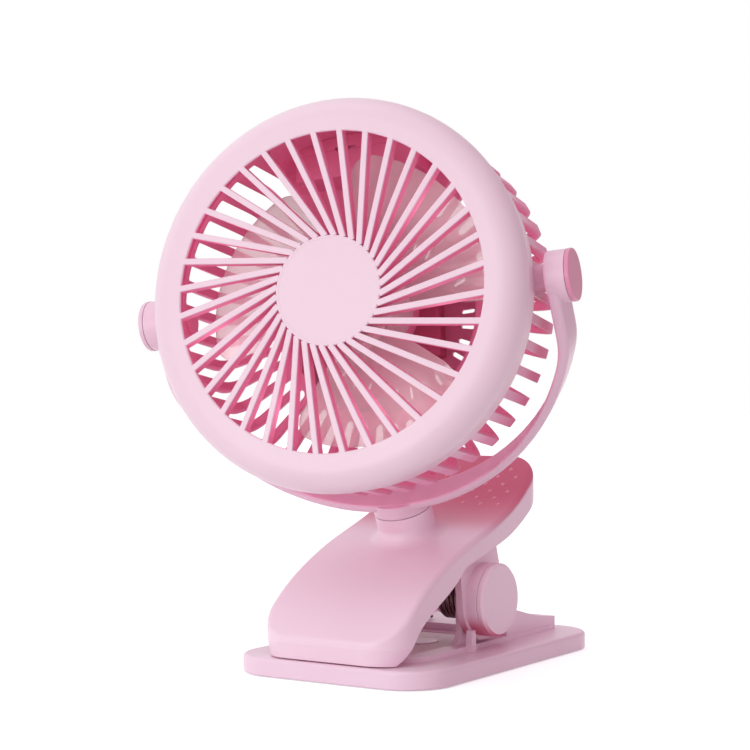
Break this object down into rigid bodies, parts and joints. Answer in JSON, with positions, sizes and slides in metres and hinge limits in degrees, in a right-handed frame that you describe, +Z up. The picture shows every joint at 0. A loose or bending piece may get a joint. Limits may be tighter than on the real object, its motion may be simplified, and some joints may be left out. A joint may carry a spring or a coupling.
{
  "type": "clip-on fan",
  "caption": "Small clip-on table fan: a round grilled head tilts in a yoke that swivels on the upper jaw of a sprung clip with a flat base.",
  "frame": {"origin": "centre of the base plate's underside, on the surface the fan stands on", "axes": "+Z up, -Y to the front of the clip where the jaw opens, +X to the clip's right side seen from behind the tail"},
  "size_m": [0.1528, 0.1397, 0.1922],
  "materials": {
    "pink_plastic": "satin",
    "clear_plastic": "clear, gloss",
    "grey_rubber": "matte",
    "steel": "satin",
    "dark_steel": "satin",
    "spring_wire": "satin",
    "cell_wrap": "satin",
    "board": "satin",
    "dark_plastic": "satin",
    "light_window": "clear, gloss"
  },
  "bodies": {
    "base": {"base_plate": "pink_plastic", "base_pad": "grey_rubber", "sole_pad": "grey_rubber", "spring_sleeve": "pink_plastic", "torsion_spring_left": "spring_wire", "torsion_spring_right": "spring_wire"},
    "jaw": {"upper_jaw": "pink_plastic", "clip_pin": "steel", "clip_cap_left": "pink_plastic", "clip_cap_right": "pink_plastic"},
    "yoke": {"yoke": "pink_plastic", "neck_washer": "steel", "neck_screw": "steel", "knob_cap_left": "pink_plastic", "knob_cap_right": "pink_plastic"},
    "head": {"front_grille": "pink_plastic", "hub_disc": "pink_plastic", "rear_shell": "pink_plastic", "rear_cap": "pink_plastic", "battery_cell": "cell_wrap", "motor_mount": "pink_plastic", "motor_can": "dark_steel", "mount_screw_1": "steel", "mount_screw_2": "steel", "mount_screw_3": "steel", "control_box": "pink_plastic", "control_board": "board", "tact_switch": "dark_plastic", "usb_inlet": "steel", "status_light": "light_window", "pivot_washer_left": "steel", "pivot_washer_right": "steel", "pivot_screw_left": "steel", "pivot_screw_right": "steel"},
    "impeller": {"impeller": "clear_plastic", "motor_shaft": "steel"},
    "button": {"power_button": "pink_plastic"}
  },
  "joints": [
    {"name": "jaw_open", "type": "hinge", "parent": "base", "child": "jaw", "pos_m": [0, 0, 0.0227], "axis": [-1, 0, 0], "range_deg": [0, 30], "stiffness_Nm_per_rad": 1.2, "springref_deg": -45.84, "deforming": ["torsion_spring_left", "torsion_spring_right"]},
    {"name": "yoke_swivel", "type": "hinge", "parent": "jaw", "child": "yoke", "pos_m": [0, -0.0111, 0.0538], "axis": [0, -0.3859, 0.9225], "continuous": true},
    {"name": "head_tilt", "type": "hinge", "parent": "yoke", "child": "head", "pos_m": [0, -0.04093, 0.12511], "axis": [0.9677, 0.2325, 0.0973], "continuous": true},
    {"name": "impeller_spin", "type": "hinge", "parent": "head", "child": "impeller", "pos_m": [0, -0.04093, 0.12511], "axis": [0.2192, -0.9669, 0.131], "continuous": true},
    {"name": "power_button_press", "type": "slide", "parent": "head", "child": "button", "axis": [0.2192, -0.9669, 0.131], "range_m": [0, 0.001], "stiffness_N_per_m": 300}
  ]
}
